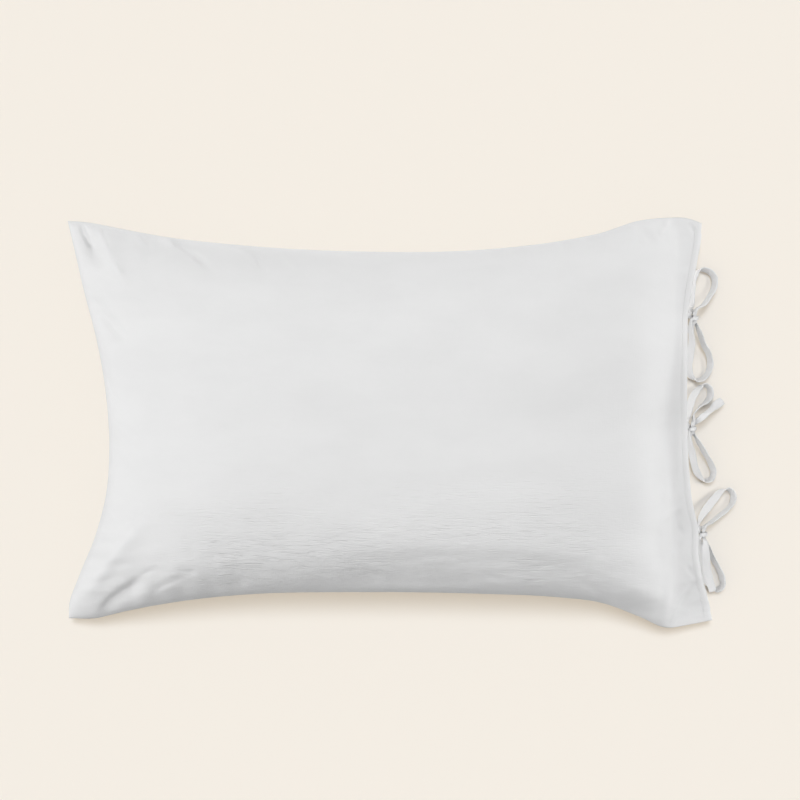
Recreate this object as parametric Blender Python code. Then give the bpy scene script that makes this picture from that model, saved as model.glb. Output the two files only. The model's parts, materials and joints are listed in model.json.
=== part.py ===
"""A pillowcase on its pillow, lying on its back: one filled case with an open, tied end and three bows.

+X runs towards the open end, +Y across the case and +Z up. The origin is the middle of the case's box, on the
surface that it rests on. Everything is worked out in millimetres and made in metres.
"""

import math

import bmesh
import bpy
import numpy as np

MM = 0.001

# The seam line of the filled case, in mm (x, y, z). The side seams run from the closed end to the open end,
# the closed end and the open end from the lower side seam to the upper one.
SIDE_SEAM_UPPER = (
    (-394, 246, 26),
    (-366, 243, 34),
    (-328, 235, 44),
    (-278, 225, 55),
    (-180, 213, 67),
    (-36, 205, 72),
    (108, 207, 72),
    (204, 218, 66),
    (253, 228, 60),
    (302, 244, 50),
    (334, 248, 42),
    (363, 248, 34),
    (378, 243, 30),
)
SIDE_SEAM_LOWER = (
    (-393, -240, 24),
    (-360, -239, 32),
    (-328, -231, 42),
    (-278, -220, 54),
    (-180, -207, 67),
    (-36, -203, 72),
    (108, -205, 72),
    (204, -210, 67),
    (253, -217, 59),
    (303, -236, 45),
    (336, -250, 34),
    (367, -247, 27),
    (394, -242, 23),
)
CLOSED_END = (
    (-393, -240, 24),
    (-391, -221, 31),
    (-378, -188, 42),
    (-355, -135, 55),
    (-341, -84, 62),
    (-337, -33, 65),
    (-342, 39, 63),
    (-353, 97, 57),
    (-370, 156, 46),
    (-385, 212, 34),
    (-394, 246, 26),
)
OPEN_END = (
    (394, -242, 23),
    (388, -218, 24),
    (380, -191, 26),
    (375, -164, 28),
    (375, -133, 29),
    (366, -95, 34),
    (361, -40, 37),
    (360.5, -7, 36),
    (359, 45, 39),
    (360, 94, 38),
    (361, 129, 36),
    (364, 155, 35),
    (370, 195, 33),
    (376, 222, 31),
    (378, 243, 30),
)

# How far into the case each seam's own shape is felt: a higher power fades faster.
SEAM_FADE = 2.0
OPEN_END_FADE = 7.0
OPEN_END_HEIGHT_FADE = 3.0

# The filling.
CROWN = 106.0  # top of the case above the level of its seams
BELLY = 92.0  # how far the filling would sag below them, before the floor flattens it
FLOOR_BLEND = 14.0  # height over which the underside rounds up from the floor
ACROSS_POWER = 2.5
ALONG_POWER = 2.7
ROUNDNESS = 0.5
FILL_END = 0.962  # where the filling ends, as a share of the length, midway across
FILL_END_AT_CORNERS = 0.925
FILL_END_POWER = 9.0
FILL_END_ROUNDNESS = 0.85
FILL_END_BLEND = 0.08  # how softly the cloth leaves the filling for the flat hem

# The cloth.
SEAM_HALF = 1.2  # half the thickness of a closed seam
HEM_WALL = 2.0  # thickness of a turned hem
POCKET_WALL = 5.5  # thickness of the same wall where it meets the filling
HEM_ZONE = (0.80, 0.92)  # shares of the length over which the edge grows from seam to hem

# The mouth between the front and the back hem. The ties are sewn at three rows of the open end.
MOUTH_CORNER = 0.022  # share of the width that is closed at each end of the mouth
TIE_ROWS = {"bow3": 4, "bow2": 7, "bow1": 10}
MOUTH_GAP_AT_TIES = 5.0
MOUTH_PARTINGS = (11.0, 6.0, 8.0, 6.0)  # how much further the hems part between corner, ties and corner
POCKET_DEPTH = 30.0
POCKET_DEPTH_AT_CORNERS = 58.0
POCKET_CORNER_REACH = 0.09  # share of the width over which the deep corners of the mouth fade
POCKET_CORNER_START = (-0.01, 0.05)  # shares from a corner of the mouth over which it opens
POCKET_LEAST = 0.5  # least clearance inside the mouth
POCKET_STEPS = 6
FILLING_END_STEPS = 4
FILLING_END_BULGE = 5.0
FILLING_END_HEIGHT = 30.0  # the filling's end bulges in full where it is this high

# Soft folds: from (x, y), to (x, y), width and height in mm. A negative height is a trough.
FRONT_FOLDS = (
    (-374, 238, -348, 192, 11, -6.0),
    (-352, 236, -312, 160, 10, 5.0),
    (-310, 228, -286, 206, 8, -3.0),
    (-278, 222, -206, 176, 10, -3.6),
    (-195, 214, -142, 168, 10, -2.8),
    (-366, 156, -306, 88, 13, -5.0),
    (-348, 60, -296, 20, 10, -2.4),
    (-340, -10, -292, -52, 10, -2.4),
    (-382, -216, -282, -108, 15, 6.0),
    (-352, -232, -276, -166, 12, -9.0),
    (-310, -226, -226, -160, 14, 3.5),
    (-226, -206, -150, -176, 12, -2.5),
    (246, -206, 316, -236, 10, -3.5),
    (268, -190, 330, -214, 11, 3.0),
    (332, -246, 344, -190, 9, 5.0),
    (352, -236, 364, -196, 9, -2.6),
    (334, 60, 342, -84, 11, -4.5),
    (350, -104, 346, -154, 13, -5.0),
    (298, 240, 314, 214, 7, -2.5),
    (344, 196, 352, 128, 11, -2.6),
)
BACK_FOLDS = (
    (-372, 234, -330, 176, 12, -4.5),
    (-372, -228, -318, -166, 13, -5.0),
    (-300, 222, -246, 178, 11, -3.0),
    (330, 236, 296, 176, 12, -3.5),
    (340, -238, 300, -180, 12, -3.5),
    (-352, 40, -306, 8, 11, -2.5),
)

FOLD_AT_SEAMS = 0.2  # share of a fold's height that is left at a seam
FOLD_IN_FULL = 0.13  # the fullness of the case from which a fold has its whole height
FOLD_ROOM_AT_CROWN = 40.0  # how deep a trough may be at the crown
HEM_STRAIGHT_FROM = 0.97  # share of the length past which folds fade out into the hem

# Gathers along the closed seams: share of the edge from, to, waves, height in mm.
SEAM_GATHERS = (
    (0.03, 0.34, 7.0, 1.5),
    (0.30, 0.62, 5.0, 0.7),
    (0.66, 0.90, 6.0, 0.9),
)
SIDE_GATHER_FADE = 0.06  # share of the width within which the gathers of a side seam fade
END_GATHER_FADE = 0.04  # share of the length within which those of the closed end fade
GATHER_START = 0.012  # the seam itself stays straight over this share
UPPER_GATHER_SHIFT = 0.013  # keeps the two side seams from matching
GATHER_DRIFT = 5.0  # radians by which the waves slide along a seam

# The mesh.
ALONG_STEPS = 62
ACROSS_STEPS = 38
EDGE_CROWDING = 0.62  # how much finer the mesh is near the seams: 0 is even

# The ties, in mm.
TIE_WIDTH = 10.0
TIE_THICKNESS = 1.4
GATHERED_WIDTH = 4.4  # where the tie is drawn together in the knot
GATHERED_THICKNESS = 1.6
GATHER_REACH = (5.0, 17.0)  # distances from the knot between which a tie opens to its full width
EDGE_ROUNDING = 1.2  # how far in from its edges a tie's faces are flat, in half thicknesses
TIE_STEP = 4.2  # longest step of the mesh along a tie
TIE_OFFSET = 1.05  # between the mouth's mid level and each tie of a pair
WRAP_RADIUS_X = 3.9
WRAP_RADIUS_Z = 4.4
WRAP_START, WRAP_TURN, WRAP_STEPS = 188.0, 318.0, 10
WRAP_ADVANCE = 3.0
STRAND_OFFSET = 1.15  # above or below the knot's centre, for the two strands that run through it

# Which way a tie's width lies.
UP = (0.0, 0.0, 1.0)
FLAT = (1.0, 0.0, 0.0)
LENGTHWISE = (0.0, 1.0, 0.0)
OUTWARD = (0.62, 0.0, 0.78)
OUTWARD_UP = (0.50, 0.30, 0.81)
OUTWARD_DOWN = (0.50, -0.30, 0.81)
SLANT = (0.62, -0.76, 0.20)
SLANT_UP = (0.30, -0.40, 0.87)

# The way into and through a knot. The rows of a root are mm behind the hem's edge and a share of the width.
ROOT_ROWS = ((14.0, 1.0), (7.0, 1.0), (2.0, 0.7))
ROOT_EXIT = {"front": (1.4, 1.4, 0.0), "back": (1.4, -0.3, -0.5)}
PAST_ROOT = 3.4  # how far along the hem the front tie passes its own root
PAST_ROOT_FROM_RIM = 3.8
OVER_KNOT = (-5.7, 0.0, 2.6, (-0.7, 0.0, 0.7))
BESIDE_KNOT = (-5.8, 4.4, 1.0, UP)
OUT_OF_WRAP = (-4.9, -5.4, 2.2, (-0.56, 0.0, -0.83))
INTO_KNOT = {"front": (0.9, 8.4, 1.2, OUTWARD), "back": (2.5, -8.0, -3.0, OUTWARD)}
THROUGH_KNOT = (4.6, 0.0, -4.4)

# Each knot's centre, in mm from the hem's edge where its ties are sewn.
KNOTS = {
    "bow1": (9.0, -0.5, -3.0),
    "bow2": (7.5, -0.5, -3.2),
    "bow3": (7.5, -3.5, -3.0),
}

# Loops and tails, in mm from the knot: x, y, z, which way the width lies.
LOOPS = {
    "bow1_tie_front": (
        (-5.6, 14.0, -5, UP),
        (-5.8, 26.0, -12, UP),
        (-4.4, 40.0, -17, UP),
        (0.8, 53.0, -21, UP),
        (10.0, 60.5, -22, OUTWARD_UP),
        (20.0, 59.0, -23.5, OUTWARD_UP),
        (27.5, 51.0, -23.5, OUTWARD),
        (28.0, 41.5, -22.5, OUTWARD),
        (21.4, 28.0, -17, OUTWARD),
        (11.6, 15.6, -8, OUTWARD),
    ),
    "bow1_tie_back": (
        (-5.2, -14.0, -1, UP),
        (-5.0, -35.0, -9, UP),
        (-6.1, -53.7, -15, UP),
        (-4.3, -67.0, -20.5, UP),
        (2.4, -74.8, -23.5, OUTWARD_DOWN),
        (11.6, -75.0, -24, OUTWARD_DOWN),
        (19.0, -68.0, -24, OUTWARD_DOWN),
        (22.6, -57.0, -23, OUTWARD),
        (20.7, -45.0, -20, OUTWARD),
        (13.2, -31.7, -14, OUTWARD),
        (6.4, -16.0, -6, OUTWARD),
    ),
    "bow2_tie_front": (
        (-6.4, 14.0, -4, UP),
        (-6.2, 30.5, -13, UP),
        (-0.8, 43.0, -18, UP),
        (7.9, 51.0, -22, OUTWARD_UP),
        (17.0, 53.5, -23.5, OUTWARD_UP),
        (23.7, 50.0, -23.5, OUTWARD),
        (25.5, 41.5, -22.5, OUTWARD),
        (20.3, 32.8, -19, OUTWARD),
        (10.0, 25.0, -13, UP),
        (1.6, 15.0, -6, UP),
    ),
    "bow2_tie_back": (
        (-5.0, -14.0, -1, UP),
        (-2.6, -29.0, -8, UP),
        (1.4, -45.0, -14, UP),
        (7.9, -57.3, -20, UP),
        (17.5, -65.0, -23.5, OUTWARD_DOWN),
        (26.2, -62.8, -24, OUTWARD_DOWN),
        (29.2, -54.9, -23, OUTWARD),
        (25.0, -43.3, -20, OUTWARD),
        (16.6, -30.0, -13, OUTWARD),
        (7.6, -16.0, -5, OUTWARD),
    ),
    "bow3_tie_front": (
        (-4.6, 17.0, -1, UP),
        (1.4, 29.0, -6, UP),
        (12.0, 43.8, -11, UP),
        (23.6, 52.6, -15.5, OUTWARD_UP),
        (33.4, 53.4, -17, OUTWARD_UP),
        (39.0, 47.0, -17, OUTWARD),
        (37.8, 37.0, -16, OUTWARD),
        (29.8, 28.0, -13, OUTWARD),
        (17.8, 19.5, -8, OUTWARD),
        (8.4, 12.8, -3.5, OUTWARD),
    ),
    "bow3_tie_back": (
        (-5.0, -12.0, -5, UP),
        (-4.0, -30.0, -13, UP),
        (1.4, -52.5, -17, UP),
        (9.2, -66.0, -18.5, OUTWARD_DOWN),
        (18.3, -71.0, -19, OUTWARD_DOWN),
        (25.6, -66.0, -19, OUTWARD_DOWN),
        (25.6, -56.0, -18, OUTWARD),
        (20.0, -43.3, -16, OUTWARD),
        (13.2, -31.0, -12.5, OUTWARD),
        (6.6, -17.0, -8, OUTWARD),
    ),
}
TAILS = {
    "bow1_tie_front": (
        (-1.0, -6.4, 2.0, (-0.7, 0.0, 0.7)),
        (-2.3, -8.8, 0.2, UP),
        (-3.6, -11.2, -9, LENGTHWISE),
        (-11.0, -14.5, -21, LENGTHWISE),
        (-20.0, -16.5, -26, LENGTHWISE),
        (-31.0, -19.0, -29, LENGTHWISE),
    ),
    "bow1_tie_back": (
        (-1.0, 6.2, -3.4, FLAT),
        (-1.6, 7.5, -7.6, FLAT),
        (-3.0, 8.9, -13.5, (0.6, 0.8, 0.0)),
        (-11.0, 10.5, -21, LENGTHWISE),
        (-20.0, 9.0, -26, LENGTHWISE),
        (-31.0, 7.0, -29, LENGTHWISE),
    ),
    "bow2_tie_front": (
        (-1.0, -6.4, 2.0, (-0.7, 0.0, 0.7)),
        (-2.3, -8.8, 0.2, UP),
        (-3.6, -11.2, -9, LENGTHWISE),
        (-10.0, -13.5, -21, LENGTHWISE),
        (-19.0, -15.5, -26, LENGTHWISE),
        (-29.0, -18.5, -29, LENGTHWISE),
    ),
    "bow2_tie_back": (
        (1.6, 5.8, -2.6, SLANT),
        (5.4, 8.4, -3.0, SLANT),
        (11.0, 12.8, -1.5, SLANT),
        (17.6, 18.6, -3, SLANT_UP),
        (25.0, 23.8, -10, SLANT_UP),
        (32.4, 29.0, -16, SLANT),
        (39.6, 33.8, -20, SLANT),
    ),
    "bow3_tie_front": (
        (1.2, -9.6, 4.0, FLAT),
        (1.6, -16.0, 5.0, FLAT),
        (1.6, -28.0, 2.5, FLAT),
        (3.0, -41.5, -3, FLAT),
        (5.6, -56.0, -8, FLAT),
        (8.8, -70.0, -11.5, FLAT),
    ),
    "bow3_tie_back": (
        (-1.2, 6.2, -3.2, FLAT),
        (-2.6, 8.0, -7.0, FLAT),
        (-4.6, 9.8, -11, LENGTHWISE),
        (-10.0, 9.0, -16, LENGTHWISE),
        (-18.0, 7.0, -19, LENGTHWISE),
        (-26.0, 4.5, -21, LENGTHWISE),
    ),
}


def clear_scene():
    for leftover in list(bpy.data.objects):
        bpy.data.objects.remove(leftover)


def cloth(name, colour, roughness):
    material = bpy.data.materials.new(name)
    material.use_nodes = True
    shader = material.node_tree.nodes["Principled BSDF"]
    shader.inputs["Base Color"].default_value = (*colour, 1.0)
    shader.inputs["Roughness"].default_value = roughness
    shader.inputs["Metallic"].default_value = 0.0
    return material


def row_shares(rows):
    """How far along the line through the rows each row is, from 0 to 1."""
    steps = np.linalg.norm(np.diff(np.array(rows, float), axis=0), axis=1)
    return np.concatenate([[0.0], np.cumsum(steps)]) / steps.sum()


def smooth_line(rows):
    """A function of a share from 0 to 1 of the way along a smooth line through the rows."""
    points, knots = np.array(rows, float), row_shares(rows)
    slopes = np.diff(points, axis=0) / np.diff(knots)[:, None]
    before, after = np.diff(knots)[:-1, None], np.diff(knots)[1:, None]
    inner = (slopes[:-1] * after + slopes[1:] * before) / (before + after)
    tangents = np.vstack([slopes[:1], inner, slopes[-1:]])

    def at(share):
        share = np.asarray(share, float)
        span = np.clip(np.searchsorted(knots, share, side="right") - 1, 0, len(knots) - 2)
        width = (knots[span + 1] - knots[span])[..., None]
        f = (share - knots[span])[..., None] / width
        return (
            points[span] * (2 * f**3 - 3 * f**2 + 1)
            + tangents[span] * width * (f**3 - 2 * f**2 + f)
            + points[span + 1] * (3 * f**2 - 2 * f**3)
            + tangents[span + 1] * width * (f**3 - f**2)
        )

    return at


def ease(low, high, value):
    f = np.clip((value - low) / (high - low), 0.0, 1.0)
    return f * f * (3.0 - 2.0 * f)


upper_seam = smooth_line(SIDE_SEAM_UPPER)
lower_seam = smooth_line(SIDE_SEAM_LOWER)
closed_end = smooth_line(CLOSED_END)
open_end = smooth_line(OPEN_END)
tie_shares = {bow: row_shares(OPEN_END)[row] for bow, row in TIE_ROWS.items()}
mouth_stops = [MOUTH_CORNER, *sorted(tie_shares.values()), 1.0 - MOUTH_CORNER]


def chord(line, share):
    share = share[..., None]
    return line(0.0) * (1.0 - share) + line(1.0) * share


def seam_level(s, t):
    """The point midway between front and back: s runs along the case, t across it."""
    corners = chord(lower_seam, s) * (1.0 - t)[..., None] + chord(upper_seam, s) * t[..., None]
    point = corners + (upper_seam(s) - chord(upper_seam, s)) * (t**SEAM_FADE)[..., None]
    point += (lower_seam(s) - chord(lower_seam, s)) * ((1.0 - t) ** SEAM_FADE)[..., None]
    point += (closed_end(t) - chord(closed_end, t)) * ((1.0 - s) ** SEAM_FADE)[..., None]
    at_mouth = open_end(t) - chord(open_end, t)
    point[..., :2] += at_mouth[..., :2] * (s**OPEN_END_FADE)[..., None]
    point[..., 2] += at_mouth[..., 2] * s**OPEN_END_HEIGHT_FADE
    return point


def filling(s, t):
    """How full the case is, from 0 at its seams to 1 at its crown."""
    across = np.clip(1.0 - np.abs(2.0 * t - 1.0) ** ACROSS_POWER, 0.0, 1.0) ** ROUNDNESS
    along = np.clip(1.0 - np.abs(2.0 * np.minimum(s, 0.5) - 1.0) ** ALONG_POWER, 0.0, 1.0) ** ROUNDNESS
    end = FILL_END_AT_CORNERS + (FILL_END - FILL_END_AT_CORNERS) * across
    short_of_end = 1.0 - (s / end) ** FILL_END_POWER
    towards_end = ((short_of_end + np.hypot(short_of_end, FILL_END_BLEND)) / 2.0) ** FILL_END_ROUNDNESS
    return across * along * towards_end


def mouth_gap(t):
    """How far apart the front and the back hem are at the open end."""
    held = [0.0, *[MOUTH_GAP_AT_TIES] * len(TIE_ROWS), 0.0]
    gap = np.interp(t, mouth_stops, held)
    for start, stop, parting in zip(mouth_stops, mouth_stops[1:], MOUTH_PARTINGS):
        f = np.clip((t - start) / (stop - start), 0.0, 1.0)
        gap += parting * np.sin(math.pi * f) ** 1.5
    return gap


def fold_height(x, y, folds):
    height = np.zeros_like(x)
    for x0, y0, x1, y1, width, peak in folds:
        length = math.hypot(x1 - x0, y1 - y0)
        along = ((x - x0) * (x1 - x0) + (y - y0) * (y1 - y0)) / length
        aside = ((x - x0) * (y1 - y0) - (y - y0) * (x1 - x0)) / length
        middle = length / 2.0
        reach = np.abs(along - middle) / (middle + width)
        taper = np.clip(1.0 - reach**2, 0.0, 1.0) ** 1.5
        height += peak * taper * np.exp(-((aside / width) ** 2))
    return height


def gathers(s, t):
    """Small waves along the closed seams that fade within a few centimetres of them."""
    height = np.zeros_like(s)
    seams = (
        (s, np.exp(-t / SIDE_GATHER_FADE)),
        (s + UPPER_GATHER_SHIFT, np.exp(-(1.0 - t) / SIDE_GATHER_FADE)),
        (t, np.exp(-s / END_GATHER_FADE)),
    )
    for start, stop, waves, peak in SEAM_GATHERS:
        for share, near in seams:
            f = np.clip((share - start) / (stop - start), 0.0, 1.0)
            wave = np.sin(2.0 * math.pi * waves * f + GATHER_DRIFT * share)
            height += peak * near * np.sin(math.pi * f) * wave
    return height * ease(0.0, GATHER_START, np.minimum(np.minimum(t, 1.0 - t), s))


def rest_on_floor(z):
    """Heights below the floor become the floor, with a rounded start."""
    rounded = z * z * (2.0 * FLOOR_BLEND - z) / FLOOR_BLEND**2
    return np.where(z <= 0.0, 0.0, np.where(z < FLOOR_BLEND, rounded, z))


def outer_point(s, t, side):
    """A point on the front (side 1) or the back (side -1) of the case."""
    level = seam_level(s, t)
    full = filling(s, t)
    hem = ease(HEM_ZONE[0], HEM_ZONE[1], s)
    edge = SEAM_HALF * (1.0 - hem) + (HEM_WALL + mouth_gap(t) / 2.0) * hem
    folds = FRONT_FOLDS if side > 0 else BACK_FOLDS
    away_from_seams = FOLD_AT_SEAMS + (1.0 - FOLD_AT_SEAMS) * ease(0.0, FOLD_IN_FULL, full)
    relief = fold_height(level[..., 0], level[..., 1], folds) * away_from_seams
    relief *= 1.0 - ease(HEM_STRAIGHT_FROM, 1.0, s)
    relief += gathers(s, t)
    # A fold may not make the two sides of the thin edge touch.
    room = np.maximum(edge - SEAM_HALF / 2.0, 0.0) + full * FOLD_ROOM_AT_CROWN
    relief = np.clip(relief, -room, None)
    height = level[..., 2] + side * (edge + full * (CROWN if side > 0 else BELLY) + relief)
    if side < 0:
        height = rest_on_floor(height)
    return np.stack([level[..., 0], level[..., 1], height], axis=-1)


def crowded(count):
    even = np.linspace(0.0, 1.0, count + 1)
    return even * (1.0 - EDGE_CROWDING) + (1.0 - np.cos(math.pi * even)) / 2.0 * EDGE_CROWDING


def mesh_object(name, points, faces, material):
    mesh = bpy.data.meshes.new(name)
    shape = bmesh.new()
    corners = [shape.verts.new(point) for point in np.asarray(points) * MM]
    for face in faces:
        shape.faces.new([corners[index] for index in face])
    bmesh.ops.recalc_face_normals(shape, faces=shape.faces)
    shape.to_mesh(mesh)
    shape.free()
    mesh.shade_smooth()
    mesh.materials.append(material)
    made = bpy.data.objects.new(name, mesh)
    bpy.context.scene.collection.objects.link(made)
    return made


def across_shares():
    """The mesh's steps across the case, with one on each tie and each end of the mouth."""
    shares = crowded(ACROSS_STEPS)
    for stop in mouth_stops:
        shares[np.abs(shares - stop).argmin()] = stop
    return shares


def pocket_depth(t):
    """How deep the open end is before the filling begins."""
    from_corner = np.minimum(t, 1.0 - t) - MOUTH_CORNER
    deeper = (POCKET_DEPTH_AT_CORNERS - POCKET_DEPTH) * np.exp(-from_corner / POCKET_CORNER_REACH)
    return (POCKET_DEPTH + deeper) * ease(*POCKET_CORNER_START, from_corner)


class Surface:
    """Points and faces gathered for one mesh."""

    def __init__(self):
        self.points = []
        self.faces = []

    def row(self, points):
        first = len(self.points)
        self.points.extend(points)
        return list(range(first, len(self.points)))

    def strip(self, one, other):
        for a, b, c, d in zip(one, one[1:], other[1:], other):
            corners = list(dict.fromkeys((a, b, c, d)))
            if len(corners) > 2:
                self.faces.append(corners)


def make_case(material):
    along, across = crowded(ALONG_STEPS), across_shares()
    s, t = np.meshgrid(along, across, indexing="ij")
    surface = Surface()
    front = [surface.row(row) for row in outer_point(s, t, 1)]
    back = [surface.row(row) for row in outer_point(s, t, -1)]
    for sheet in (front, back):
        for one, other in zip(sheet, sheet[1:]):
            surface.strip(one, other)

    # The closed seams.
    surface.strip(front[0], back[0])
    for edge in (0, -1):
        surface.strip([row[edge] for row in front], [row[edge] for row in back])

    # The open end: its two corners stay closed, and between them the hems part in front of the filling.
    start = int(np.abs(across - mouth_stops[0]).argmin())
    stop = int(np.abs(across - mouth_stops[-1]).argmin())
    points = surface.points
    ends = surface.row([(points[front[-1][j]] + points[back[-1][j]]) / 2.0 for j in (start, stop)])
    for corner, columns in ((ends[0], range(start)), (ends[1], range(stop, ACROSS_STEPS))):
        for j in columns:
            quad = [front[-1][j], front[-1][j + 1], back[-1][j + 1], back[-1][j]]
            if j + 1 == start:
                quad.insert(2, corner)
            if j == stop:
                quad.append(corner)
            surface.faces.append(quad)

    inner = across[start + 1 : stop]
    length = open_end(0.5)[0] - closed_end(0.5)[0]
    inwards = np.linspace(0.0, 1.0, POCKET_STEPS + 1)[:, None]
    depths = inwards * pocket_depth(inner)
    s_inner, t_inner = 1.0 - depths / length, np.broadcast_to(inner, depths.shape)
    wall = HEM_WALL + (POCKET_WALL - HEM_WALL) * ease(0.0, 1.0, inwards)
    under_front = outer_point(s_inner, t_inner, 1)
    over_back = outer_point(s_inner, t_inner, -1)
    under_front[..., 2] -= wall
    over_back[..., 2] += wall
    over_back[..., 2] = np.minimum(over_back[..., 2], under_front[..., 2] - POCKET_LEAST)
    rows = [*under_front]
    for step in range(1, FILLING_END_STEPS):
        down = step / FILLING_END_STEPS
        point = under_front[-1] * (1.0 - down) + over_back[-1] * down
        bulge = FILLING_END_BULGE * ease(0.0, FILLING_END_HEIGHT, under_front[-1][:, 2] - over_back[-1][:, 2])
        point[:, 0] += bulge * math.sin(math.pi * down) ** 2
        rows.append(point)
    rows += [*over_back[::-1]]
    pocket = [[ends[0], *surface.row(row), ends[1]] for row in rows]
    for one, other in zip(pocket, pocket[1:]):
        surface.strip(one, other)
    surface.strip(front[-1][start : stop + 1], pocket[0])
    surface.strip(back[-1][start : stop + 1], pocket[-1])
    return mesh_object("case", surface.points, surface.faces, material)


def tie_rows(bow, layer):
    """Every row of one tie: place in mm, which way its width lies, its width and its thickness."""
    name = f"{bow}_tie_{layer}"
    side = 1.0 if layer == "front" else -1.0
    rim = open_end(tie_shares[bow])
    knot = rim + np.array(KNOTS[bow])
    offset = np.array([0.0, 0.0, TIE_OFFSET * side])
    length = open_end(0.5)[0] - closed_end(0.5)[0]
    rows = []

    def add(place, across, width=GATHERED_WIDTH, thickness=GATHERED_THICKNESS):
        rows.append((np.array(place, float), np.array(across, float), width, thickness))

    def add_free(table):
        for x, y, z, across in table:
            distance = math.dist((x, y, z), (0.0, 0.0, 0.0))
            opened = np.clip((distance - GATHER_REACH[0]) / np.ptp(GATHER_REACH), 0.0, 1.0)
            width = GATHERED_WIDTH + (TIE_WIDTH - GATHERED_WIDTH) * opened
            add(knot + (x, y, z), across, width, TIE_THICKNESS)

    for depth, share in ROOT_ROWS:
        level = seam_level(np.array(1.0 - depth / length), np.array(tie_shares[bow]))
        add(level + offset, LENGTHWISE, TIE_WIDTH * share, TIE_THICKNESS)
    add(rim + offset + ROOT_EXIT[layer], LENGTHWISE)
    if layer == "front":
        past_root = np.array([0.0, max(PAST_ROOT, PAST_ROOT_FROM_RIM - KNOTS[bow][1]), 0.0])
        add(knot + past_root + OVER_KNOT[:3], OVER_KNOT[3])
        add_free([(*past_root + BESIDE_KNOT[:3], BESIDE_KNOT[3])])
    else:
        for step in range(WRAP_STEPS + 1):
            turned = step / WRAP_STEPS
            angle = math.radians(WRAP_START + WRAP_TURN * turned)
            around = (WRAP_RADIUS_X * math.cos(angle), WRAP_RADIUS_Z * math.sin(angle))
            add(knot + (around[0], WRAP_ADVANCE * (0.5 - turned), around[1]), LENGTHWISE)
        add(knot + OUT_OF_WRAP[:3], OUT_OF_WRAP[3])
    add_free(LOOPS[name])
    add_free([INTO_KNOT[layer]])
    for along_knot in THROUGH_KNOT:
        add(knot + (0.0, along_knot * side, STRAND_OFFSET * side), FLAT)
    add_free(TAILS[name])
    return rows


def make_tie(bow, layer, material):
    rows = tie_rows(bow, layer)
    places = np.array([row[0] for row in rows])
    across = np.array([row[1] for row in rows])
    for index in range(1, len(across)):
        if across[index] @ across[index - 1] < 0.0:
            across[index] *= -1.0
    shares = row_shares(places)
    line_length = np.linalg.norm(np.diff(places, axis=0), axis=1).sum()
    stations = []
    for start, stop in zip(shares, shares[1:]):
        steps = max(1, math.ceil((stop - start) * line_length / TIE_STEP))
        stations.extend(np.linspace(start, stop, steps, endpoint=False))
    stations = np.array([*stations, 1.0])
    line = smooth_line(places)(stations)
    tangents = np.gradient(line, axis=0)
    tangents /= np.linalg.norm(tangents, axis=1)[:, None]
    wide = np.stack([np.interp(stations, shares, across[:, axis]) for axis in range(3)], axis=1)
    wide -= (wide * tangents).sum(axis=1)[:, None] * tangents
    wide /= np.linalg.norm(wide, axis=1)[:, None]
    normal = np.cross(tangents, wide)
    half_width = np.interp(stations, shares, [row[2] for row in rows])[:, None] / 2.0
    half_thickness = np.interp(stations, shares, [row[3] for row in rows])[:, None] / 2.0
    shoulder = half_width - half_thickness * EDGE_ROUNDING
    section = (
        line + wide * half_width,
        line + wide * shoulder + normal * half_thickness,
        line - wide * shoulder + normal * half_thickness,
        line - wide * half_width,
        line - wide * shoulder - normal * half_thickness,
        line + wide * shoulder - normal * half_thickness,
    )
    surface = Surface()
    rings = [surface.row(ring) for ring in np.stack(section, axis=1)]
    for one, other in zip(rings, rings[1:]):
        surface.strip([*one, one[0]], [*other, other[0]])
    surface.faces += [rings[0], rings[-1]]
    return mesh_object(f"{bow}_tie_{layer}", surface.points, surface.faces, material)


def main():
    clear_scene()
    case_cloth = cloth("washed_cotton", (0.76, 0.76, 0.76), 0.85)
    tie_cloth = cloth("cotton_tie", (0.78, 0.78, 0.77), 0.85)
    make_case(case_cloth)
    for bow in sorted(TIE_ROWS):
        for layer in ("front", "back"):
            make_tie(bow, layer, tie_cloth)


main()
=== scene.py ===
import json
import math

import bpy
import numpy as np
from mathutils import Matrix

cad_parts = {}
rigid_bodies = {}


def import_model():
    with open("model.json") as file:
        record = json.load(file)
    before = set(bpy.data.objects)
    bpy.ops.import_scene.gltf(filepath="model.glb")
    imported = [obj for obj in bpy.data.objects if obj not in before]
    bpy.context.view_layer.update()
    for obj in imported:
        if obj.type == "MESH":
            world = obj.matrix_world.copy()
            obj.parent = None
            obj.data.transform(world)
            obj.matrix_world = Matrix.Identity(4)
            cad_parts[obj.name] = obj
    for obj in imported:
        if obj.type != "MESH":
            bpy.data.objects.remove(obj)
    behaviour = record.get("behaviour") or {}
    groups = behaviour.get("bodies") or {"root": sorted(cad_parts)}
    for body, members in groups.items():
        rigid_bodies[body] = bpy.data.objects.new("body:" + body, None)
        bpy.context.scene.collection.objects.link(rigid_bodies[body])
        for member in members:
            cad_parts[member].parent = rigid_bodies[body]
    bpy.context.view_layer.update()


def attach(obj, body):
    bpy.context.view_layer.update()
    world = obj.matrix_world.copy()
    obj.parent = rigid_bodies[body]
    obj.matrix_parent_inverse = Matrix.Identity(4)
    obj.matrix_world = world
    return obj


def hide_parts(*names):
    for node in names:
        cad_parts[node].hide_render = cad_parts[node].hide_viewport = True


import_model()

# A pillowcase on its pillow: +X runs to the open, tied end, +Y across, +Z up from the floor.
# Shapes are worked out in millimetres and made in metres.
mm = 0.001


def rowShares(rows):
    # how far along the line through the rows each row lies, 0 to 1
    steps = np.linalg.norm(np.diff(np.array(rows, float), axis=0), axis=1)
    return np.concatenate([[0.0], np.cumsum(steps)]) / steps.sum()


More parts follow.
